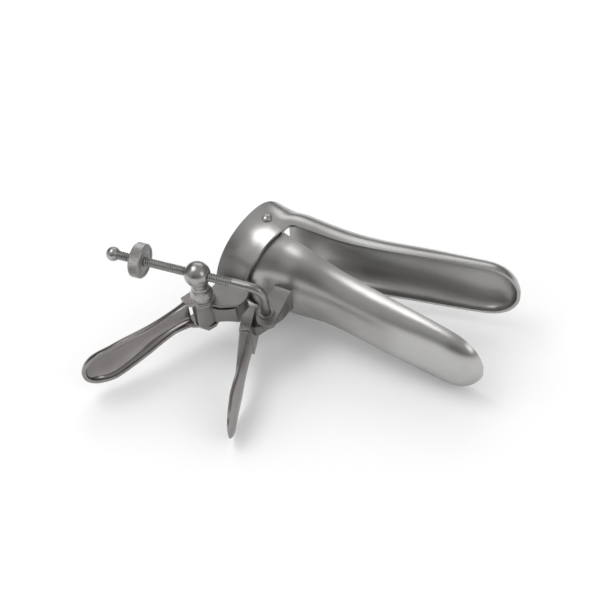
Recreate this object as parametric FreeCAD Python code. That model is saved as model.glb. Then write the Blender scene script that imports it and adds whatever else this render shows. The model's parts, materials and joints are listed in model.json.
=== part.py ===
"""Bivalve vaginal speculum of duck-bill form, in stainless steel, with a side screw.

Two trough-shaped blades are hinged at a funnel-shaped ring. Squeezing the two handles
opens the blades, and a nut on a bent screw holds them there. The instrument is drawn
about its hinge, with the blades along +X and the hinge axis along Y, and is then laid
down on its side as it lies on a table: +Z is up and the origin is under the middle.
"""
import FreeCAD, Part
import math
import os

V = FreeCAD.Vector

# Driving dimensions, in millimetres and degrees

# Blades, from the hinge axis
blade_length = 105.0
blade_half_width = 15.8
blade_depth_waist = 12.2
blade_depth_tip = 9.6
waist_at = 46.0
tip_run = 17.0
sheet = 1.3
rim_gap = 0.2

# Pose: directions of each blade and of the ring's axis in the side plane
outer_blade_angle = 10.8
inner_blade_angle = -10.7
ring_axis_angle = -18.9

# Ring
ring_radius = 24.3
mouth_radius = 26.9
mouth_rise = 16.6
ring_rise = 18.9
mouth_back = 5.6
flare_from = 5.0
ring_front = 8.6
corner_radius = 4.0

# Hinge
hinge_play = 1.2
ear_radius = 4.4
rivet_radius = 1.5
rivet_head_radius = 2.2
rivet_head_height = 0.9
inner_head_height = 0.8
head_gap = 0.3
running_clearance = 0.06
inner_base_lag = 10.0

# Handles
outer_handle_length = 95.0
inner_handle_length = 89.2
outer_handle_angle = -118.2
inner_handle_angle = -73.6
outer_handle_half_width = 10.2
inner_handle_half_width = 9.4
root_half_width = 8.0
neck_half_width = 6.5
handle_play = 0.4
handle_sheet = 1.5
root_depth = 4.6
neck_depth = 3.8
outer_handle_depth = 4.8
inner_handle_depth = 2.0
handle_tip_run = 13.0
neck_at = 52.0
swell_from = 65.0
swell_half_width = 7.7
tip_lift = 0.5
inner_root_start = 33.5

# Screw linkage, seen along the hinge axis
post_distance = 37.9
post_angle = -110.7
lug_distance = 35.4
lug_angle = -66.2
screw_plane = -22.9
rod_radius = 1.9
rod_length = 64.9
rod_bend_radius = 5.0
rod_ball_radius = 3.0
eye_clearance = 0.3

# Swivel post
post_ball_radius = 5.4
post_neck_radius = 3.6
post_neck_drop = 6.5
post_collar_radius = 4.7
post_washer_radius = 5.0
post_washer_thickness = 0.8
shank_radius = 2.4
foot_nut_height = 2.8
foot_nut_flats = 7.0

# Thumb nut
nut_radius = 7.2
nut_thickness = 4.8
nut_at = 53.0

# Arm and side plate that carry the outer handle
plate_thickness = 1.5
arm_neck_half_width = 4.0
knuckle_radius = 5.2

# Lug on the inner blade
lug_thickness = 2.4
lug_far_face = 3.0
lug_seat_end = 39.5
lug_outer_face = -7.4
lug_boss_height = 1.2
collar_height = 2.2
collar_radius = 3.4


# Helpers

def in_side_plane(angle):
    """Placement that turns +X to this angle from +X towards +Z, about the hinge axis."""
    return FreeCAD.Placement(V(0, 0, 0), FreeCAD.Rotation(V(0, -1, 0), angle))


def side_point(radius, angle):
    """Point at a distance and angle from the hinge, in the side plane."""
    turn = math.radians(angle)
    return V(radius * math.cos(turn), 0, radius * math.sin(turn))


def rounded_outline(points, radii):
    """Closed wire in the side plane through (x, z) points, each corner with its radius."""
    corners = [V(x, 0, z) for x, z in points]
    count = len(corners)
    starts = []
    ends = []
    edges = []
    for i in range(count):
        here = corners[i]
        before = (corners[i - 1] - here).normalize()
        after = (corners[(i + 1) % count] - here).normalize()
        if radii[i] <= 0:
            starts.append(here)
            ends.append(here)
            continue
        half = before.getAngle(after) / 2
        reach = radii[i] / math.tan(half)
        starts.append(here + before * reach)
        ends.append(here + after * reach)
        middle_way = (before + after).normalize()
        middle = here + middle_way * (radii[i] / math.sin(half) - radii[i])
        edges.append(Part.Arc(starts[i], middle, ends[i]).toShape())
    for i in range(count):
        start = ends[i]
        end = starts[(i + 1) % count]
        if start.distanceToPoint(end) > 1e-6:
            edges.append(Part.makeLine(start, end))
    return Part.Wire(Part.__sortEdges__(edges))


def slab(points, radii, low, high):
    """Plate with a rounded side outline, between two values of Y."""
    face = Part.Face(rounded_outline(points, radii))
    plate = face.extrude(V(0, high - low, 0))
    plate.translate(V(0, low, 0))
    return plate


def post_cylinder(radius, low, high, centre):
    """Round bar along Y about a point of the side plane."""
    return Part.makeCylinder(radius, high - low, V(centre.x, low, centre.z), V(0, 1, 0))


def section(x, z, tilt, half_width, depth, power=2.0, points=14, fine=560):
    """Points of a superellipse across the X axis, leaning forward at its +Z side by tilt."""
    lean = math.radians(tilt)
    dense = []
    for i in range(fine + 1):
        turn = 2 * math.pi * i / fine - math.pi / 2
        side = math.cos(turn)
        up = math.sin(turn)
        across = half_width * math.copysign(abs(side) ** (2 / power), side)
        rise = depth * math.copysign(abs(up) ** (2 / power), up)
        dense.append((across, rise))
    lengths = [0.0]
    for here, after in zip(dense, dense[1:]):
        lengths.append(lengths[-1] + math.dist(here, after))
    ring = []
    index = 0
    for i in range(points):
        while lengths[index] < lengths[-1] * i / points:
            index += 1
        across, rise = dense[index]
        ring.append(V(x + rise * math.sin(lean), across, z + rise * math.cos(lean)))
    return ring


def closed_curve(ring):
    """Smooth closed curve through evenly spaced points."""
    curve = Part.BSplineCurve()
    even_steps = [i / len(ring) for i in range(len(ring) + 1)]
    curve.interpolate(Points=ring, Parameters=even_steps, PeriodicFlag=True)
    return curve


def tube(stations):
    """Solid skinned over a row of sections, with a flat cap at each end."""
    rings = [section(*station) for station in stations]
    along = [0.0]
    for here, after in zip(rings, rings[1:]):
        along.append(along[-1] + max(a.distanceToPoint(b) for a, b in zip(here, after)))
    curves = [closed_curve(ring) for ring in rings]
    columns = []
    for column in zip(*[curve.getPoles() for curve in curves]):
        line = Part.BSplineCurve()
        line.interpolate(Points=list(column), Parameters=along)
        columns.append(line)
    skin = Part.BSplineSurface()
    skin.buildFromPolesMultsKnots([line.getPoles() for line in columns],
                                  curves[0].getMultiplicities(), columns[0].getMultiplicities(),
                                  curves[0].getKnots(), columns[0].getKnots(), True, False,
                                  curves[0].Degree, columns[0].Degree)
    side = skin.toShape()
    caps = [Part.Face(Part.Wire(skin.vIso(end).toShape())) for end in (along[0], along[-1])]
    shell = Part.Shell([side] + caps)
    shell.sewShape()
    solid = Part.Solid(shell)
    if solid.Volume < 0:
        solid.reverse()
    return solid


def one_solid(shape):
    """The shape without leftover seams, as a single solid where it is one."""
    clean = shape.removeSplitter()
    if len(clean.Solids) == 1:
        return clean.Solids[0]
    return clean


# Shapes shared by the two blades

ring_inner = ring_radius - sheet
base_radius = ring_inner - hinge_play
lean = outer_blade_angle - ring_axis_angle
tip_start = blade_length - tip_run
tip_steps = (0.0, 0.45, 0.75, 0.92, 0.99)
tip_roundness = 2.4


def ring_radius_at(along):
    """Outer radius of the ring, which flares towards its mouth."""
    flare = max(0.0, (flare_from - along) / (flare_from + mouth_back))
    return ring_radius + (mouth_radius - ring_radius) * flare ** 2


def blade_run(inset):
    """Sections from the waist to the rounded tip, moved inwards by inset."""
    run = [
        (waist_at, 0, 0, blade_half_width - inset, blade_depth_waist - inset),
        ((waist_at + tip_start) / 2, 0, 0, blade_half_width - inset,
         (blade_depth_waist + blade_depth_tip) / 2 + 0.4 - inset),
    ]
    for step in tip_steps:
        swell = math.sqrt(1 - step ** tip_roundness)
        run.append((tip_start + (tip_run - inset) * step, 0, 0,
                    (blade_half_width - inset) * swell, (blade_depth_tip - inset) * swell))
    return run


def outer_run(inset):
    """Sections from the ring's mouth, which leans, to the outer blade's tip."""
    turn = math.radians(lean)
    run = []
    for along in (-mouth_back - inset, -mouth_back / 2, 0.0):
        rise = ring_rise + (mouth_rise - ring_rise) * -along / mouth_back
        run.append((along * math.cos(turn), -along * math.sin(turn), lean,
                    ring_radius_at(along) - inset, rise - inset))
    run.append((8.0, 0, 0.74 * lean, 0.975 * ring_radius - inset, 0.90 * ring_rise - inset))
    run.append((18.0, 0, 0.44 * lean, 0.86 * ring_radius - inset, 0.815 * ring_rise - inset))
    run.append((30.0, 0, 0.18 * lean, 0.715 * ring_radius - inset, 0.735 * ring_rise - inset))
    return run + blade_run(inset)


def inner_run(inset):
    """Sections from the ball-shaped base inside the ring to the inner blade's tip."""
    base = base_radius - inset
    run = []
    for back in (-8.0, -4.0, 0.0):
        radius = math.sqrt(base ** 2 - back ** 2)
        run.append((back, 0, 0, radius, radius))
    run.append((7.0, 0, 0, base - 0.3, math.sqrt(base ** 2 - 7.0 ** 2)))
    run.append((13.0, 0, 0, base - 1.3, math.sqrt(base ** 2 - 13.0 ** 2) + 0.3))
    run.append((20.0, 0, 0, 0.81 * ring_radius - inset, 0.665 * ring_radius - inset))
    run.append((30.0, 0, 0, 0.72 * ring_radius - inset, 0.57 * ring_radius - inset))
    return run + blade_run(inset)


outer_frame = in_side_plane(outer_blade_angle)
ring_frame = in_side_plane(ring_axis_angle)
flip = FreeCAD.Placement(V(0, 0, 0), FreeCAD.Rotation(V(1, 0, 0), 180))
inner_frame = in_side_plane(inner_blade_angle) * flip
far = 150.0
reach = 60.0


def placed(shape, frame):
    """Copy of a shape moved by a placement."""
    copy = shape.copy()
    copy.Placement = frame * copy.Placement
    return copy


# Ring and outer blade, one pressing

def ring_profile(inset, start, end):
    """Outer or inner line of the ring's wall, as points of its half plane."""
    steps = 5
    points = []
    for i in range(steps + 1):
        along = start + (flare_from - start) * i / steps
        points.append(V(along, ring_radius_at(along) - inset, 0))
    curve = Part.BSplineCurve()
    curve.interpolate(points)
    last = V(end, ring_radius - inset, 0)
    return [curve.toShape(), Part.makeLine(points[-1], last)], points[0], last


def ring_body(inset, start, end):
    """Solid of revolution inside the ring's outer or inner line."""
    edges, first, last = ring_profile(inset, start, end)
    edges.append(Part.makeLine(last, V(end, 0, 0)))
    edges.append(Part.makeLine(V(end, 0, 0), V(first.x, 0, 0)))
    edges.append(Part.makeLine(V(first.x, 0, 0), first))
    face = Part.Face(Part.Wire(edges))
    return face.revolve(V(0, 0, 0), V(1, 0, 0), 360)


ring_solid = placed(ring_body(0, -mouth_back, ring_front), ring_frame)
ring_hollow = placed(ring_body(sheet, -mouth_back - 1, ring_front + 1), ring_frame)
below_ring = Part.makeBox(2 * far, 2 * reach, reach, V(-far, -reach, -reach))
above_ring = Part.makeBox(2 * far, 2 * reach, reach, V(-far, -reach, 0))

outer_blade_solid = placed(tube(outer_run(0)), outer_frame)
outer_blade_hollow = placed(tube(outer_run(sheet)), outer_frame)


def outer_opening():
    """Side outline of all that is open under the outer blade's rim and before the ring."""
    turn = math.radians(lean)
    front = V(ring_front * math.cos(turn), 0, -ring_front * math.sin(turn))
    up = V(math.sin(turn), 0, math.cos(turn))
    corner = front + up * (-front.z / up.z)
    foot = front - up * reach
    points = [(corner.x, 0), (foot.x, foot.z), (far, foot.z), (far, 0)]
    return slab(points, [corner_radius, 0, 0, 0], -reach, reach)


def make_outer_blade():
    upper = outer_blade_solid.cut(outer_blade_hollow)
    upper = upper.cut(placed(below_ring, ring_frame))
    upper = upper.cut(placed(outer_opening(), outer_frame))
    lower = ring_solid.cut(ring_hollow).cut(placed(above_ring, ring_frame))
    whole = upper.fuse(lower)
    hinge_hole = post_cylinder(rivet_radius, -reach, reach, V(0, 0, 0))
    return one_solid(whole.cut(hinge_hole))


# Inner blade

inner_blade_solid = placed(tube(inner_run(0)), inner_frame)


def make_inner_blade():
    shell = tube(inner_run(0)).cut(tube([(-9.0, 0, 0, base_radius - 1, base_radius - 1)]
                                        + inner_run(sheet)[1:]))
    back = math.tan(math.radians(inner_base_lag)) * reach
    trough = slab([(0, rim_gap), (-back, reach), (far, reach), (far, rim_gap)],
                  [0, 0, 0, 0], -reach, reach)
    ears = post_cylinder(ear_radius, -reach, reach, V(0, 0, 0))
    shell = shell.common(trough.fuse(ears))
    hole = post_cylinder(rivet_radius + running_clearance, -reach, reach, V(0, 0, 0))
    return one_solid(placed(shell.cut(hole), inner_frame))


# Hinge rivets

def make_pivot_rivet(side):
    """Rivet through the ring and the inner blade's ear, with a domed outer head."""
    inner_face = base_radius - sheet
    head_edge = math.sqrt(inner_face ** 2 - rivet_head_radius ** 2) - head_gap
    wall = ring_radius_at(0)
    shank = post_cylinder(rivet_radius, head_edge - inner_head_height,
                          wall + rivet_head_height / 2, V(0, 0, 0))
    inner_head = post_cylinder(rivet_head_radius, head_edge - inner_head_height, head_edge,
                               V(0, 0, 0))
    dome_radius = (rivet_head_radius ** 2 + rivet_head_height ** 2) / (2 * rivet_head_height)
    dome = Part.makeSphere(dome_radius, V(0, wall + rivet_head_height - dome_radius, 0))
    beyond = post_cylinder(rivet_head_radius, wall, wall + 2 * rivet_head_height, V(0, 0, 0))
    dome = dome.common(beyond).cut(ring_solid).cut(outer_blade_solid)
    rivet = shank.fuse([inner_head, dome]).removeSplitter()
    if side < 0:
        rivet = rivet.mirror(V(0, 0, 0), V(0, 1, 0))
    return one_solid(rivet)


# Handles

post_at = side_point(post_distance, post_angle)
lug_at = side_point(lug_distance, lug_angle)
outer_handle_frame = in_side_plane(outer_handle_angle) * flip
inner_handle_frame = in_side_plane(inner_handle_angle)
web_gap = 0.4
spoon_start = post_distance + knuckle_radius + web_gap
root_end = spoon_start + 1.5


def handle_spoon(length, root, half_width, depth, inset):
    """Sections of a handle's hollow spoon, whose back is the X axis."""
    swell = length - handle_tip_run
    run = [
        (spoon_start, -root_depth, 0, root - 0.1 - inset, root_depth - 0.1 - inset, 4.0),
        (neck_at, -neck_depth, 0, neck_half_width - inset, neck_depth - inset, 3.0),
        (swell_from, -depth, 0, swell_half_width - inset, depth - inset, 2.4),
        (swell - 6, -depth, 0, half_width - 0.5 - inset, depth - inset, 2.2),
    ]
    for step in tip_steps:
        round_off = math.sqrt(1 - step ** tip_roundness)
        run.append((swell + (handle_tip_run - inset) * step, -depth + tip_lift * depth * step, 0,
                    (half_width - inset) * round_off, (depth - inset) * round_off, 2.2))
    return run


def make_handle(length, root, half_width, depth, cheeks, web_from):
    """Spoon-shaped handle whose root is a channel with two flat cheeks."""
    spoon = tube(handle_spoon(length, root, half_width, depth, 0))
    spoon = spoon.cut(tube(handle_spoon(length, root, half_width, depth, handle_sheet)))
    tip_rim = -depth + tip_lift * depth
    rim = [(0, -root_depth), (spoon_start, -root_depth), (neck_at, -neck_depth),
           (swell_from, -depth), (length - handle_tip_run, -depth),
           (length, tip_rim), (far, tip_rim), (far, -reach), (0, -reach)]
    spoon = spoon.cut(slab(rim, [0] * len(rim), -reach, reach))
    cheek_inside = root - handle_sheet
    inside = slab([(web_from, -handle_sheet), (far, -handle_sheet), (far, -reach), (0, -reach),
                   (0, reach), (web_from, reach)], [0] * 6, -cheek_inside, cheek_inside)
    return spoon.fuse(cheeks.cut(inside))


def make_outer_handle():
    """Handle whose two ears stand each side of the arm's knuckle, with the post as pin."""
    turn = math.radians(post_angle - outer_handle_angle)
    pin = V(post_distance * math.cos(turn), 0, -post_distance * math.sin(turn))
    ear = knuckle_radius
    cheeks = slab([(pin.x, pin.z + ear), (root_end, 0), (root_end, -root_depth), (pin.x, pin.z - ear)],
                  [0] * 4, -root_half_width, root_half_width)
    cheeks = cheeks.fuse(post_cylinder(ear, -root_half_width, root_half_width, pin))
    handle = make_handle(outer_handle_length, root_half_width, outer_handle_half_width,
                         outer_handle_depth, cheeks, pin.x + ear + web_gap)
    handle = placed(handle, outer_handle_frame)
    hole = post_cylinder(shank_radius + running_clearance, -reach, reach, post_at)
    return one_solid(handle.cut(hole))


def make_inner_handle():
    """Handle whose channel-shaped root is fixed to the lug by its back."""
    root = root_half_width + handle_play
    cheeks = slab([(inner_root_start, 0), (root_end, 0), (root_end, -root_depth),
                   (inner_root_start + 4, -root_depth), (inner_root_start, -root_depth + 2)],
                  [0.5, 0, 0, 2.0, 1.5], -root, root)
    handle = make_handle(inner_handle_length, root, inner_handle_half_width, inner_handle_depth,
                         cheeks, inner_root_start)
    return one_solid(placed(handle, inner_handle_frame))


# Arm, side plate and swivel post on the outer handle's side

cheek_inner = root_half_width - handle_sheet
plate_inner = cheek_inner - plate_thickness


def make_outer_arm():
    """Forged arm from the ring's underside to a broad knuckle inside the handle's root."""
    outline = [(-9.5, -20.0), (-0.5, -20.0), (1.8, -29.0), (1.0, -33.6), (-8.0, -37.6),
               (-13.4, -34.0), (-10.5, -28.5)]
    arm = slab(outline, [0, 0, 3.0, 2.0, 3.0, 2.0, 4.0], -plate_inner, cheek_inner)
    arm = arm.fuse(post_cylinder(knuckle_radius, -plate_inner, cheek_inner, post_at))
    along = (V(1.4, 0, -31.0) - post_at).normalize()
    thick_way = V(-along.z, 0, along.x)
    neck_at = post_at + along * (knuckle_radius + 4.0)
    scoop = 14.0
    for side in (-1, 1):
        centre = neck_at + V(0, side * (arm_neck_half_width + scoop), 0) - thick_way * reach
        arm = arm.cut(Part.makeCylinder(scoop, 2 * reach, centre, thick_way))
    arm = arm.cut(ring_solid)
    return one_solid(arm.cut(post_cylinder(shank_radius + running_clearance, -reach, reach, post_at)))


def make_side_plate():
    """Flat plate beside the arm, from the ring to the swivel post."""
    outline = [(-10.5, -18.0), (1.0, -18.0), (3.2, -28.0), (2.2, -32.4), (-5.0, -36.0),
               (-12.0, -37.5), (-13.2, -31.0)]
    plate = slab(outline, [0, 0, 4.0, 2.5, 6.0, 2.0, 6.0], -cheek_inner, -plate_inner)
    plate = plate.fuse(post_cylinder(knuckle_radius, -cheek_inner, -plate_inner, post_at))
    plate = plate.cut(ring_solid)
    return one_solid(plate.cut(post_cylinder(shank_radius + running_clearance, -reach, reach, post_at)))


screw_way = (post_at - lug_at).normalize()
post_in_screw_plane = V(post_at.x, screw_plane, post_at.z)
lug_in_screw_plane = V(lug_at.x, screw_plane, lug_at.z)
washer_top = -root_half_width - post_washer_thickness
foot_gap = 0.05


def make_swivel_post():
    ball = Part.makeSphere(post_ball_radius, post_in_screw_plane)
    neck_end = screw_plane + post_neck_drop
    neck = post_cylinder(post_neck_radius, screw_plane, washer_top - 1, post_at)
    collar = Part.makeCone(post_neck_radius, post_collar_radius, 2.0,
                           V(post_at.x, washer_top - 4.0, post_at.z), V(0, 1, 0))
    flange = post_cylinder(post_collar_radius, washer_top - 2.0, washer_top, post_at)
    waist = Part.makeTorus(post_neck_radius + 1.3, 1.8, V(post_at.x, neck_end + 0.6, post_at.z),
                           V(0, 1, 0))
    shank = post_cylinder(shank_radius, washer_top, root_half_width + foot_gap + foot_nut_height,
                          post_at)
    post = ball.fuse([neck.cut(waist), collar, flange, shank])
    eye = Part.makeCylinder(rod_radius + eye_clearance, 2 * reach,
                            post_in_screw_plane - screw_way * reach, screw_way)
    return one_solid(post.cut(eye))


def make_post_washer():
    washer = post_cylinder(post_washer_radius, washer_top, -root_half_width, post_at)
    return one_solid(washer.cut(post_cylinder(shank_radius, -reach, reach, post_at)))


def make_post_foot_nut():
    low = root_half_width + foot_gap
    corner = foot_nut_flats / 2 / math.cos(math.radians(30))
    points = []
    for i in range(6):
        turn = math.radians(60 * i)
        points.append((post_at.x + corner * math.cos(turn), post_at.z + corner * math.sin(turn)))
    nut = slab(points, [0] * 6, low, low + foot_nut_height)
    return one_solid(nut.cut(post_cylinder(shank_radius, -reach, reach, post_at)))


# Lug on the inner blade

def make_inner_lug():
    """Bracket under the inner blade: a block on its funnel, a web to the handle, an ear."""
    ear_inner = lug_outer_face + lug_thickness
    web_near = ear_inner + 0.1 + collar_height + head_gap
    handle_top = side_point(inner_root_start, inner_handle_angle)
    handle_low = side_point(lug_seat_end, inner_handle_angle)
    web = slab([(11.5, -14.0), (19.0, -14.0), (18.0, -26.0), (handle_low.x + 1.5, handle_low.z + 1),
                (handle_low.x, handle_low.z), (handle_top.x, handle_top.z), (9.4, -26.0)],
               [0, 0, 4.0, 1.0, 0, 0, 2.0], web_near, lug_far_face)
    block = slab([(11.5, -9.0), (19.0, -9.0), (19.0, -20.0), (17.0, -25.0), (11.5, -25.0)],
                 [0, 0, 2.0, 2.0, 2.0], lug_outer_face, lug_far_face)
    ear = slab([(11.0, -17.0), (18.8, -17.0), (19.4, -32.0), (19.6, -37.6), (12.6, -38.6),
                (10.2, -32.0)],
               [0, 0, 5.0, 3.0, 3.0, 2.0], lug_outer_face, ear_inner)
    boss = post_cylinder(collar_radius, lug_outer_face - lug_boss_height, lug_outer_face, lug_at)
    lug = web.fuse([block, ear, boss]).cut(inner_blade_solid)
    room = post_cylinder(collar_radius + head_gap, ear_inner, web_near, lug_at)
    hole = post_cylinder(rod_radius + running_clearance, -reach, 0, lug_at)
    return one_solid(lug.cut(room).cut(hole))


# Screw, its ball end, its collar and the thumb nut

def make_screw_rod():
    """Rod with a right-angled leg that turns in the lug's ear."""
    end = lug_in_screw_plane + screw_way * (rod_length - 0.5 * rod_ball_radius)
    bend_start = lug_in_screw_plane + screw_way * rod_bend_radius
    leg_start = lug_in_screw_plane + V(0, rod_bend_radius, 0)
    centre = bend_start + V(0, rod_bend_radius, 0)
    outward = (lug_in_screw_plane - centre).normalize()
    leg_end = V(lug_at.x, lug_outer_face + lug_thickness + collar_height + 0.1, lug_at.z)
    path = Part.Wire([Part.makeLine(end, bend_start),
                      Part.Arc(bend_start, centre + outward * rod_bend_radius, leg_start).toShape(),
                      Part.makeLine(leg_start, leg_end)])
    profile = Part.Wire(Part.makeCircle(rod_radius, end, screw_way))
    return one_solid(path.makePipeShell([profile], True, False))


def make_rod_end_ball():
    centre = lug_in_screw_plane + screw_way * rod_length
    hole_end = centre - screw_way * (0.5 * rod_ball_radius)
    hole = Part.makeCylinder(rod_radius, 2 * rod_ball_radius, hole_end - screw_way * 2 * rod_ball_radius,
                             screw_way)
    return one_solid(Part.makeSphere(rod_ball_radius, centre).cut(hole))


def make_leg_collar():
    low = lug_outer_face + lug_thickness + 0.1
    collar = post_cylinder(collar_radius, low, low + collar_height, lug_at)
    return one_solid(collar.cut(post_cylinder(rod_radius, -reach, reach, lug_at)))


def make_thumb_nut():
    """Round nut with a raised hub on its inner face and bevelled rims."""
    centre = lug_in_screw_plane + screw_way * nut_at
    start = centre - screw_way * (nut_thickness / 2)
    bevel = 0.5
    body = Part.makeCylinder(nut_radius, nut_thickness - 2 * bevel, start + screw_way * bevel, screw_way)
    inner_bevel = Part.makeCone(nut_radius - bevel, nut_radius, bevel, start, screw_way)
    outer_bevel = Part.makeCone(nut_radius, nut_radius - bevel, bevel,
                                start + screw_way * (nut_thickness - bevel), screw_way)
    bore = Part.makeCylinder(rod_radius + running_clearance, 2 * nut_thickness,
                             start - screw_way, screw_way)
    return one_solid(body.fuse([inner_bevel, outer_bevel]).cut(bore))


# All pieces

pieces = {
    "outer_blade": make_outer_blade(),
    "inner_blade": make_inner_blade(),
    "pivot_rivet_screw_side": make_pivot_rivet(-1),
    "pivot_rivet_far_side": make_pivot_rivet(1),
    "outer_handle": make_outer_handle(),
    "outer_arm": make_outer_arm(),
    "side_plate": make_side_plate(),
    "swivel_post": make_swivel_post(),
    "post_washer": make_post_washer(),
    "post_foot_nut": make_post_foot_nut(),
    "inner_handle": make_inner_handle(),
    "inner_lug": make_inner_lug(),
    "screw_rod": make_screw_rod(),
    "rod_end_ball": make_rod_end_ball(),
    "leg_collar": make_leg_collar(),
    "thumb_nut": make_thumb_nut(),
}


# Laid on its side, as on a table

def lowest(shape, up):
    """Corner or mesh point of a shape that is lowest along a direction."""
    points = shape.tessellate(0.1)[0]
    return min(points, key=lambda point: point.dot(up))


def resting_frame():
    """Placement that lays the instrument on the three pieces that touch the table."""
    props = [pieces["outer_blade"], pieces["inner_blade"], pieces["inner_handle"]]
    up = V(-0.08, -0.98, 0.17).normalize()
    for _ in range(8):
        a, b, c = [lowest(prop, up) for prop in props]
        normal = (b - a).cross(c - a).normalize()
        if normal.dot(up) < 0:
            normal = normal * -1
        up = normal
    forward = (V(1, 0, 0) - up * up.x).normalize()
    left = up.cross(forward)
    turn = FreeCAD.Matrix(forward.x, forward.y, forward.z, 0, left.x, left.y, left.z, 0,
                          up.x, up.y, up.z, 0, 0, 0, 0, 1)
    rotation = FreeCAD.Placement(turn)
    box = Part.makeCompound([placed(piece, rotation) for piece in pieces.values()]).BoundBox
    middle = V((box.XMin + box.XMax) / 2, (box.YMin + box.YMax) / 2, box.ZMin)
    return FreeCAD.Placement(middle * -1, FreeCAD.Rotation()) * rotation


on_table = resting_frame()
laid = {name: placed(piece, on_table) for name, piece in pieces.items()}

os.makedirs("parts", exist_ok=True)
for name, piece in laid.items():
    piece.exportStep("parts/" + name + ".step")
    print(name, "solids", len(piece.Solids), "valid", piece.isValid(),
          "volume", round(piece.Volume, 1))
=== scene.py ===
# %% [markdown]
# # A bivalve speculum in satin steel
# The instrument lies on its side on a white table: two spoon blades hinged on a round mouth, two spoon
# handles, and a threaded rod whose nut sets how far the blades open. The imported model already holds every
# piece at its real size. This lesson gives the steel its finish, cuts the thread and the knurl as real
# geometry, and lights the whole as a small studio would.

# %% Tools and frame
import json
import math

import bmesh
import bpy
from mathutils import Matrix, Vector


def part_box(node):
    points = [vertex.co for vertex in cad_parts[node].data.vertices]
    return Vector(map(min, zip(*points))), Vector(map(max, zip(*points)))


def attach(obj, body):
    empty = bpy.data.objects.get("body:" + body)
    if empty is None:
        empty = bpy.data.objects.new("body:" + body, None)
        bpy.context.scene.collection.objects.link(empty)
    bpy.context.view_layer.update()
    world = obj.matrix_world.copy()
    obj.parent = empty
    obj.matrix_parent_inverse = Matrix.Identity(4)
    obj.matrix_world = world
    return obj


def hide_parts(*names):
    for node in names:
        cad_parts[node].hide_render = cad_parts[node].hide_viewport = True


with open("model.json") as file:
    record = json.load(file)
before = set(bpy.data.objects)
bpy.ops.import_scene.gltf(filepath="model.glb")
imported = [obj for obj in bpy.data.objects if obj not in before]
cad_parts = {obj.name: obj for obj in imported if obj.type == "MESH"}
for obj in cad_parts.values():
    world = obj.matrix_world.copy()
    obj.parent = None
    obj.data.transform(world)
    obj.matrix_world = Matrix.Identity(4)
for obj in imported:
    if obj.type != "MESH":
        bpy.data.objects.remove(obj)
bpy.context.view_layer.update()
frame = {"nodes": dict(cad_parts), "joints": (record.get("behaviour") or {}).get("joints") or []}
nodes = frame["nodes"]
joints = {joint["name"]: joint for joint in frame["joints"]}
MM = 0.001
print("nodes:", len(nodes), "joints:", len(joints))

# %% [markdown]
# ## Measuring along a direction
# The instrument lies slightly turned, so its rod and its pins don't follow the world's axes. The sizes of
# an added piece could be typed in, but they would be wrong as soon as the model changed. So every added
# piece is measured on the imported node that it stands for: the node's own vertices, projected on the rod's
# or the hinge's direction, give its ends and its radius.

# %% Measures on a node
hinge_way = Vector(joints["blade_pivot"]["axis"]).normalized()
rod_way = Vector(joints["nut_travel"]["axis"]).normalized()
rod_corner = Vector(joints["rod_swing"]["pos_m"])
across_rod = rod_way.cross(hinge_way).normalized()


def spread(node, point, direction):
    """Lowest and highest distance of a node's vertices from a point, along a direction."""
    along = [(vertex.co - point).dot(direction) for vertex in nodes[node].data.vertices]
    return min(along), max(along)


def radius_about(node, point, direction):
    """Largest distance of a node's vertices from an axis."""
    most = 0.0
    for vertex in nodes[node].data.vertices:
        arm = vertex.co - point
        most = max(most, (arm - direction * arm.dot(direction)).length)
    return most


def middle(node):
    """Centre of a node's box."""
    low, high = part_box(node)
    return (low + high) / 2


rod_radius = spread("screw_rod", rod_corner, across_rod)[1]
print("rod radius mm:", round(rod_radius / MM, 2))

# %% [markdown]
# ## Camera
# The photograph was taken with a longish lens from above, in front of the screw side. A camera could be
# placed by eye. Here the place, the point aimed at and the slight roll were fitted to the outline of the
# instrument, so that the picture can be compared with the photograph point by point.

# %% Camera
camera_place = Vector((0.22084, -0.37907, 0.41476))
camera_aim = Vector((-0.02045, 0.03918, -0.00529))
camera_roll = math.radians(4.91)
camera_lens = 87.5
sensor_width = 36.0


def new_object(name, data):
    """An object in the scene that shows a mesh, a lamp or a camera."""
    item = bpy.data.objects.new(name, data)
    bpy.context.scene.collection.objects.link(item)
    return item


def look_from(item, place, aim, roll=0.0):
    """Put a camera or a lamp at a place, turned to look at a point."""
    item.location = place
    look = (Vector(aim) - Vector(place)).to_track_quat("-Z", "Y")
    item.rotation_mode = "QUATERNION"
    item.rotation_quaternion = look @ Matrix.Rotation(-roll, 3, "Z").to_quaternion()


camera_data = bpy.data.cameras.new("camera")
camera_data.lens = camera_lens
camera_data.sensor_width = sensor_width
camera = new_object("camera", camera_data)
look_from(camera, camera_place, camera_aim, camera_roll)
bpy.context.scene.camera = camera
bpy.context.scene.view_settings.view_transform = "Standard"
print("camera to instrument m:", round((camera_aim - camera_place).length, 3))

# %% [markdown]
# ## Room
# Steel has no colour of its own: it shows what stands around it, so the room matters more than the lamps.
# The room could be modelled with walls and cards, or come from a picture of a studio. A colour ramp over
# the height of a tilted sky does the same with seven greys. It is pale overhead, grey below, and has one
# dark stretch between them, as a black card gives. Only reflections see the ramp: the camera sees white,
# and all other rays see an even white that fills the shadows.

# %% Nodes and rays
white_colour = (1.0, 1.0, 1.0, 1.0)


def new_node(tree, kind, **values):
    """A node with its named sockets set; an underscore in a name stands for a space."""
    node = tree.nodes.new(kind)
    for name, value in values.items():
        node.inputs[name.replace("_", " ")].default_value = value
    return node


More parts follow.
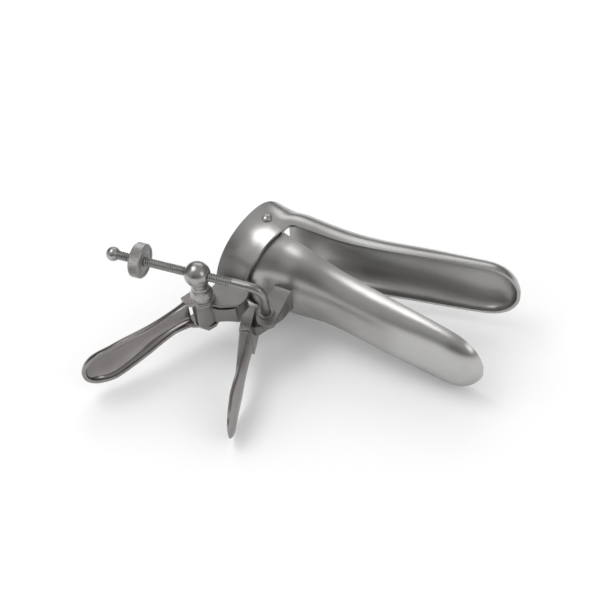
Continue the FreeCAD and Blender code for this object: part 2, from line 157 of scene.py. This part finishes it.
def choose_by_ray(tree, kind_of_ray, chosen, otherwise):
    """One shader for a kind of ray, and another for all other rays."""
    rays = tree.nodes.new("ShaderNodeLightPath")
    mix = tree.nodes.new("ShaderNodeMixShader")
    tree.links.new(rays.outputs[kind_of_ray], mix.inputs["Fac"])
    tree.links.new(otherwise, mix.inputs[1])
    tree.links.new(chosen, mix.inputs[2])
    return mix.outputs["Shader"]


# %% Sky for the reflections
sky_tilt = (0.0, math.radians(-18), math.radians(30))
sky_shades = [(0.0, 0.30), (0.40, 0.26), (0.50, 0.10), (0.60, 0.08), (0.72, 0.20), (0.86, 0.38), (1.0, 0.46)]
sky_warmth = (0.99, 0.975)
fill_strength = 0.72


def height_of_sky(tree):
    """Height of the looked-at point of a tilted sky, from 0 at the bottom to 1 at the top."""
    place = tree.nodes.new("ShaderNodeTexCoord")
    turn = tree.nodes.new("ShaderNodeMapping")
    turn.inputs["Rotation"].default_value = sky_tilt
    tree.links.new(place.outputs["Generated"], turn.inputs["Vector"])
    split = tree.nodes.new("ShaderNodeSeparateXYZ")
    tree.links.new(turn.outputs["Vector"], split.inputs["Vector"])
    half = tree.nodes.new("ShaderNodeMath")
    half.operation = "MULTIPLY_ADD"
    half.inputs[1].default_value = 0.5
    half.inputs[2].default_value = 0.5
    tree.links.new(split.outputs["Z"], half.inputs[0])
    return half.outputs[0]


def sky_colour(tree):
    """Greys over the sky's height; those between the two ends are a little warm."""
    ramp = tree.nodes.new("ShaderNodeValToRGB")
    stops = ramp.color_ramp.elements
    for stop, (position, shade) in zip(stops, (sky_shades[0], sky_shades[-1])):
        stop.position = position
        stop.color = (shade, shade, shade, 1.0)
    for position, shade in sky_shades[1:-1]:
        green, blue = sky_warmth
        stops.new(position).color = (shade, shade * green, shade * blue, 1.0)
    tree.links.new(height_of_sky(tree), ramp.inputs["Fac"])
    return ramp.outputs["Color"]


def make_room():
    world = bpy.data.worlds.new("studio")
    bpy.context.scene.world = world
    world.use_nodes = True
    tree = world.node_tree
    tree.nodes.clear()
    sky = new_node(tree, "ShaderNodeBackground", Strength=1.0)
    tree.links.new(sky_colour(tree), sky.inputs["Color"])
    fill = new_node(tree, "ShaderNodeBackground", Color=white_colour, Strength=fill_strength)
    backdrop = new_node(tree, "ShaderNodeBackground", Color=white_colour, Strength=1.0)
    lit = choose_by_ray(tree, "Is Glossy Ray", sky.outputs["Background"], fill.outputs["Background"])
    seen = choose_by_ray(tree, "Is Camera Ray", backdrop.outputs["Background"], lit)
    out = tree.nodes.new("ShaderNodeOutputWorld")
    tree.links.new(seen, out.inputs["Surface"])


make_room()
print("greys in the sky:", len(sky_shades))

# %% [markdown]
# ## Lamps
# Small hard lamps would leave white dots on the steel. Broad area lamps give long soft highlights
# instead. The key hangs high over the handles and draws the streak along the inner blade. The back lamp
# lightens the outer blade's rim, and the side and front lamps are weak and only open up the shadows.

# %% Lamps
instrument_middle = (0.0, 0.0, 0.02)


def lamp(name, place, aim, size, watts):
    """Soft rectangular lamp that looks at a point."""
    data = bpy.data.lights.new(name, "AREA")
    data.shape = "RECTANGLE"
    data.size, data.size_y = size
    data.energy = watts
    look_from(new_object(name, data), place, aim)
    print("lamp", name, "watts:", watts)


lamp("key", (-0.40, -0.12, 0.92), instrument_middle, size=(0.60, 0.40), watts=2.3)
lamp("back", (-0.30, 0.75, 0.62), instrument_middle, size=(0.9, 0.5), watts=1.5)
lamp("side", (0.75, -0.1, 0.45), aim=(0.02, 0.0, 0.02), size=(0.3, 0.4), watts=0.7)
lamp("front", (-0.55, -0.55, 0.42), aim=(-0.02, 0.0, 0.02), size=(0.8, 0.6), watts=0.55)

# %% [markdown]
# ## Table
# The table is a plain white sheet. It has to keep the instrument's soft shadow and still melt into the
# white background. More light would do that, but it would also bleach the steel. So the sheet is plain
# white paper with a faint glow that only camera rays see.

# %% Table
table_half = 3.0
table_drop = 0.2 * MM
paper_white = (0.9, 0.9, 0.9, 1.0)
glow_strength = 0.10


def white_paper():
    paper = bpy.data.materials.new("white_table")
    paper.use_nodes = True
    tree = paper.node_tree
    tree.nodes.clear()
    flat = new_node(tree, "ShaderNodeBsdfDiffuse", Color=paper_white)
    glow = new_node(tree, "ShaderNodeEmission", Color=white_colour, Strength=glow_strength)
    no_glow = new_node(tree, "ShaderNodeEmission", Strength=0.0)
    seen = choose_by_ray(tree, "Is Camera Ray", glow.outputs["Emission"], no_glow.outputs["Emission"])
    both = tree.nodes.new("ShaderNodeAddShader")
    tree.links.new(flat.outputs["BSDF"], both.inputs[0])
    tree.links.new(seen, both.inputs[1])
    out = tree.nodes.new("ShaderNodeOutputMaterial")
    tree.links.new(both.outputs["Shader"], out.inputs["Surface"])
    return paper


def make_table():
    corners = [(x * table_half, y * table_half, 0) for x, y in ((-1, -1), (1, -1), (1, 1), (-1, 1))]
    mesh = bpy.data.meshes.new("table")
    mesh.from_pydata(corners, [], [(0, 1, 2, 3)])
    mesh.materials.append(white_paper())
    table = new_object("table", mesh)
    table.location.z = -table_drop


make_table()
print("table width m:", 2 * table_half)

# %% [markdown]
# ## Steel
# All of the instrument is stainless steel, but its pieces are finished in different ways. A picture of
# brushed steel would need the meshes unwrapped, and its grain would stretch round the bends. One recipe
# of noises, which fill space, serves every piece instead. Its base is a full metal. A fine noise, which
# can be stretched along the brushing, changes the roughness and tilts the surface a little. A wide soft
# noise lets the tone drift as handling marks do. Forged, polished and turned pieces have no knife edges,
# so for them the shading is also rounded over a fraction of a millimetre at each edge.

# %% Steel recipe
marks_scale = 38.0
marks_range = (0.3, 0.7)
dark_warmth = (0.985, 0.96)
light_warmth = (0.995, 0.98)
grain_depth = 0.4 * MM
edge_samples = 6


# A tint below 1 takes more green and blue out; only the handles and brackets have one, as part of their
# painted reflection and painted shade.
def warm_grey(tone, warmth, painted_warm_tint):
    """A grey whose green and blue are a little under its red."""
    green, blue = warmth
    return (tone, tone * green * painted_warm_tint, tone * blue * painted_warm_tint, 1.0)


def steel(name, tone, roughness, grain, lift, drift, painted_warm_tint=1.0, brushing=(1, 1, 1),
          rough_drift=0.06, edge=0.0):
    """Metal with a tone, a roughness and a fine grain; brushing scales the grain along x, y and z."""
    material = bpy.data.materials.new(name)
    material.use_nodes = True
    tree = material.node_tree
    shader = tree.nodes["Principled BSDF"]
    shader.inputs["Metallic"].default_value = 1.0
    place = tree.nodes.new("ShaderNodeTexCoord")
    turn = tree.nodes.new("ShaderNodeMapping")
    turn.inputs["Scale"].default_value = brushing
    tree.links.new(place.outputs["Object"], turn.inputs["Vector"])
    fine = new_node(tree, "ShaderNodeTexNoise", Scale=grain, Detail=4.0, Roughness=0.6)
    tree.links.new(turn.outputs["Vector"], fine.inputs["Vector"])
    wide = new_node(tree, "ShaderNodeTexNoise", Scale=marks_scale, Detail=2.0, Roughness=0.5)
    tree.links.new(place.outputs["Object"], wide.inputs["Vector"])

    rough = new_node(tree, "ShaderNodeMapRange",
                     To_Min=roughness - rough_drift, To_Max=roughness + rough_drift)
    tree.links.new(fine.outputs["Fac"], rough.inputs["Value"])
    tree.links.new(rough.outputs["Result"], shader.inputs["Roughness"])

    colours = tree.nodes.new("ShaderNodeValToRGB")
    dark, light = colours.color_ramp.elements
    dark.position, light.position = marks_range
    dark.color = warm_grey(tone - drift, dark_warmth, painted_warm_tint)
    light.color = warm_grey(tone + drift, light_warmth, painted_warm_tint)
    tree.links.new(wide.outputs["Fac"], colours.inputs["Fac"])
    tree.links.new(colours.outputs["Color"], shader.inputs["Base Color"])

    bump = new_node(tree, "ShaderNodeBump", Strength=lift, Distance=grain_depth)
    tree.links.new(fine.outputs["Fac"], bump.inputs["Height"])
    if edge:
        rounded = new_node(tree, "ShaderNodeBevel", Radius=edge)
        rounded.samples = edge_samples
        tree.links.new(rounded.outputs["Normal"], bump.inputs["Normal"])
    tree.links.new(bump.outputs["Normal"], shader.inputs["Normal"])
    return material


# %% [markdown]
# ## Six finishes
# The blades are brushed to a satin, with the grain stretched along them. The handles are polished, and
# their tone is set darker and a little browner than the blades: a painted dark reflection. The forged arm,
# side plate and lug are only tumbled, so they are rougher, and their tone is set darkest of all as painted
# shade. The post and the small round pieces are turned bright, the rod is left as it was threaded, and the
# nut is blasted over its knurl.

# %% Finishes
satin = steel("satin_blade_steel", tone=0.53, roughness=0.31, grain=5200.0, lift=0.02, drift=0.06,
              brushing=(0.12, 1, 1), rough_drift=0.03)
# The handles' dark, slightly brown tone is a painted dark reflection; only the low roughness is their
# polish.
polished_painted_reflection = steel("polished_handle_steel_painted_reflection", tone=0.37, roughness=0.21, grain=700.0, lift=0.03, drift=0.07,
                 painted_warm_tint=0.955, edge=0.4 * MM)
# The brackets' darkest tone is painted shade; their tumbled finish is only the higher roughness.
tumbled_painted_shade = steel("tumbled_bracket_steel_painted_shade", tone=0.29, roughness=0.34, grain=1100.0, lift=0.07, drift=0.05,
                painted_warm_tint=0.975, edge=0.5 * MM)
turned = steel("turned_post_steel", tone=0.44, roughness=0.29, grain=1300.0, lift=0.05, drift=0.05,
               edge=0.15 * MM)
threaded = steel("threaded_rod_steel", tone=0.33, roughness=0.36, grain=1500.0, lift=0.04, drift=0.04)
blasted = steel("blasted_nut_steel", tone=0.42, roughness=0.46, grain=2600.0, lift=0.22, drift=0.04)

finish_of = {
    "outer_blade": satin,
    "inner_blade": satin,
    "pivot_rivet_screw_side": turned,
    "pivot_rivet_far_side": turned,
    "outer_handle": polished_painted_reflection,
    "inner_handle": polished_painted_reflection,
    "outer_arm": tumbled_painted_shade,
    "side_plate": tumbled_painted_shade,
    "inner_lug": tumbled_painted_shade,
    "swivel_post": turned,
    "post_washer": turned,
    "post_foot_nut": turned,
    "screw_rod": threaded,
    "rod_end_ball": turned,
    "leg_collar": turned,
    "thumb_nut": blasted,
}
print("finishes:", len(set(finish_of.values())), "on pieces:", len(finish_of))

# %% [markdown]
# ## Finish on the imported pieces
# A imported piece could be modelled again, but its mesh already has the right form, so it is kept. It only
# gets its finish, and smooth shading wherever two faces meet at a small angle, so that the drawn curves
# look round and the cut edges stay crisp.

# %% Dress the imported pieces
crease = math.radians(32)
for name, material in finish_of.items():
    piece = nodes[name].data
    piece.materials.clear()
    piece.materials.append(material)
    piece.shade_smooth()
    piece.set_sharp_from_angle(angle=crease)
print("pieces dressed:", len(finish_of))

# %% [markdown]
# ## Threaded rod
# The rod is one length of steel, bent at a right angle so that its short leg turns in the inner blade's
# lug. A fine thread runs from the ball end past the post, and stops short of the bend. A bump texture
# would leave a smooth outline, and a screw modifier would need a second piece for the plain end and the
# bend. So the rod's skin is one grid of rings that follow its middle line.

# %% Line of the rod
bend_radius = 5.0 * MM
bend_steps = 16
leg_steps = 8
short_of_ball_centre = 0.5 * MM
rod_start = (middle("rod_end_ball") - rod_corner).dot(rod_way) - short_of_ball_centre
leg_end = spread("screw_rod", rod_corner, hinge_way)[1]


def rod_line(step):
    """Point, direction and distance from the corner along the rod: straight part, bend, short leg."""
    straight = rod_start - bend_radius
    count = int(straight / step)
    for i in range(count + 1):
        along = rod_start - straight * i / count
        yield rod_corner + rod_way * along, -rod_way, along
    centre = rod_corner + (rod_way + hinge_way) * bend_radius
    for i in range(1, bend_steps + 1):
        angle = math.pi / 2 * i / bend_steps
        out = -hinge_way * math.cos(angle) - rod_way * math.sin(angle)
        way = -rod_way * math.cos(angle) + hinge_way * math.sin(angle)
        yield centre + out * bend_radius, way, 0.0
    leg = leg_end - bend_radius
    for i in range(1, leg_steps + 1):
        yield rod_corner + hinge_way * (bend_radius + leg * i / leg_steps), hinge_way, 0.0


print("rod mm, straight and leg:", round(rod_start / MM, 1), round(leg_end / MM, 1))

# %% [markdown]
# ## Thread as a wave
# A thread is a helix, so a point's depth depends on its turn round the rod as well as on its place along
# it. The depth is a triangle wave of the place less the point's share of a turn, with the peaks and the
# valleys cut flat. Eight rings to a pitch are enough to keep its shape, and over the last two pitches
# before the plain stretch the wave fades out.

# %% Threaded rod
pitch = 1.0 * MM
thread_depth = 0.34 * MM
thread_end = 12.0 * MM
fade_length = 2 * pitch
rings_per_pitch = 8
around = 40
wave_gain = 1.3
wave_shift = 0.15


def within_one(value):
    return min(1.0, max(0.0, value))


def thread_radius(along, share_of_turn):
    """Radius of the threaded rod at a place along it and a share of a turn."""
    fade = within_one((along - thread_end) / fade_length)
    wave = abs(2 * ((along / pitch - share_of_turn) % 1.0) - 1)
    return rod_radius - thread_depth * within_one(wave_gain * wave - wave_shift) * fade


def finish_mesh(work, name, material, sharp_from):
    """Turn a worked mesh into an object with its finish and its sharp edges."""
    bmesh.ops.recalc_face_normals(work, faces=work.faces)
    mesh = bpy.data.meshes.new(name)
    work.to_mesh(mesh)
    work.free()
    mesh.materials.append(material)
    mesh.shade_smooth()
    mesh.set_sharp_from_angle(angle=sharp_from)
    return new_object(name, mesh)


def make_rod():
    work = bmesh.new()
    rings = []
    for point, way, along in rod_line(pitch / rings_per_pitch):
        up = across_rod.cross(way).normalized()
        ring = []
        for j in range(around):
            turn = 2 * math.pi * j / around
            out = across_rod * math.cos(turn) + up * math.sin(turn)
            ring.append(work.verts.new(point + out * thread_radius(along, j / around)))
        rings.append(ring)
    for ring, after in zip(rings, rings[1:]):
        for j in range(around):
            k = (j + 1) % around
            work.faces.new((ring[j], ring[k], after[k], after[j]))
    work.faces.new(reversed(rings[0]))
    work.faces.new(rings[-1])
    rod = finish_mesh(work, "threaded_rod", threaded, sharp_from=math.radians(60))
    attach(rod, "screw")
    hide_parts("screw_rod")
    print("rod rings:", len(rings))


make_rod()

# %% [markdown]
# ## Knurled nut
# The nut is a thick disc that fingers turn, so its rim is cut with fine upright teeth and then blasted
# matt. The teeth could be cut out of the disc one by one with booleans, which is slow and leaves thin
# faces. Instead the nut's section is turned about the rod in many small steps, and only the points on the
# rim move in and out with the teeth.

# %% Section of the nut
bore_play = 0.06 * MM
bevel = 0.55 * MM
rim_edge = 1.15 * bevel
dish = 0.35 * MM
hub_depth = 0.3 * dish
far_bore_depth = 1.6 * dish
hub_width = 0.4 * MM
hub_share = 0.55
dish_shares = (0.60, 0.80)
face_share = 0.84


def nut_section(low, high, outer):
    """Corners of the section: place along the rod, radius, and 1 where the teeth are cut."""
    bore = rod_radius + bore_play
    dish_start, dish_end = (share * outer for share in dish_shares)
    near_side = [
        (low + dish, bore, 0),
        (low + hub_depth, bore + hub_width, 0),
        (low + hub_depth, hub_share * outer, 0),
        (low + dish, dish_start, 0),
        (low + dish, dish_end, 0),
        (low, face_share * outer, 0),
        (low, outer - bevel, 0),
    ]
    rim = [
        (low + bevel, outer, 1),
        (low + rim_edge, outer, 1),
        (high - rim_edge, outer, 1),
        (high - bevel, outer, 1),
    ]
    far_side = [
        (high, outer - bevel, 0),
        (high, face_share * outer, 0),
        (high - dish, dish_end, 0),
        (high - dish, bore + hub_width, 0),
        (high - far_bore_depth, bore, 0),
    ]
    return near_side + rim + far_side


# %% Knurled nut
teeth = 64
tooth_depth = 0.22 * MM
points_per_tooth = 4


def make_nut():
    centre = rod_corner + rod_way * (middle("thumb_nut") - rod_corner).dot(rod_way)
    low, high = spread("thumb_nut", centre, rod_way)
    outer = radius_about("thumb_nut", centre, rod_way)
    section = nut_section(low, high, outer)
    up = rod_way.cross(across_rod).normalized()
    work = bmesh.new()
    columns = []
    count = teeth * points_per_tooth
    for j in range(count):
        turn = 2 * math.pi * j / count
        cut = tooth_depth * (0.5 - 0.5 * math.cos(2 * math.pi * j / points_per_tooth))
        out = across_rod * math.cos(turn) + up * math.sin(turn)
        columns.append([work.verts.new(centre + rod_way * along + out * (radius - cut * toothed))
                        for along, radius, toothed in section])
    for j in range(count):
        here, there = columns[j], columns[(j + 1) % count]
        for i in range(len(section)):
            k = (i + 1) % len(section)
            work.faces.new((here[i], here[k], there[k], there[i]))
    nut = finish_mesh(work, "knurled_nut", blasted, sharp_from=math.radians(35))
    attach(nut, "nut")
    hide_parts("thumb_nut")
    print("nut radius mm:", round(outer / MM, 2), "thickness mm:", round((high - low) / MM, 2))


make_nut()
